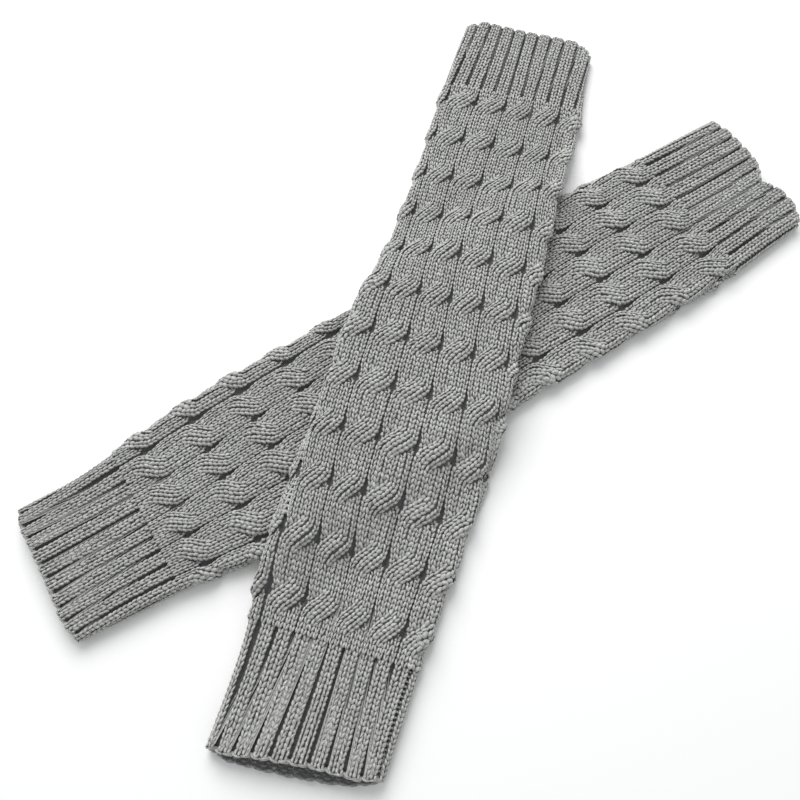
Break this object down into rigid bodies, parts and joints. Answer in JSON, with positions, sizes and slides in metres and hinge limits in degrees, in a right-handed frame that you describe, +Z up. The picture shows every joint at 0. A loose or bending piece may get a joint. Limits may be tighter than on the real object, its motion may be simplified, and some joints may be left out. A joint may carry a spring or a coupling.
{
  "type": "pair of leg warmers",
  "caption": "Pair of cable-knit leg warmers with ribbed cuffs, laid flat with one crossed over the other.",
  "frame": {"origin": "the middle of the pair's box seen from above, on the surface it lies on", "axes": "+Z up from the surface, +Y along the upper warmer from its near hem to its far hem, +X to the right"},
  "size_m": [0.312, 0.4038, 0.0204],
  "materials": {
    "grey_rib_knit": "matte heather yarn in a two-and-two rib",
    "grey_cable_knit": "matte heather yarn in six-wale cables"
  },
  "bodies": {
    "root": {"upper_near_cuff": "grey_rib_knit", "upper_cable_leg": "grey_cable_knit", "upper_far_cuff": "grey_rib_knit", "lower_near_cuff": "grey_rib_knit", "lower_cable_leg": "grey_cable_knit", "lower_far_cuff": "grey_rib_knit"}
  },
  "joints": []
}
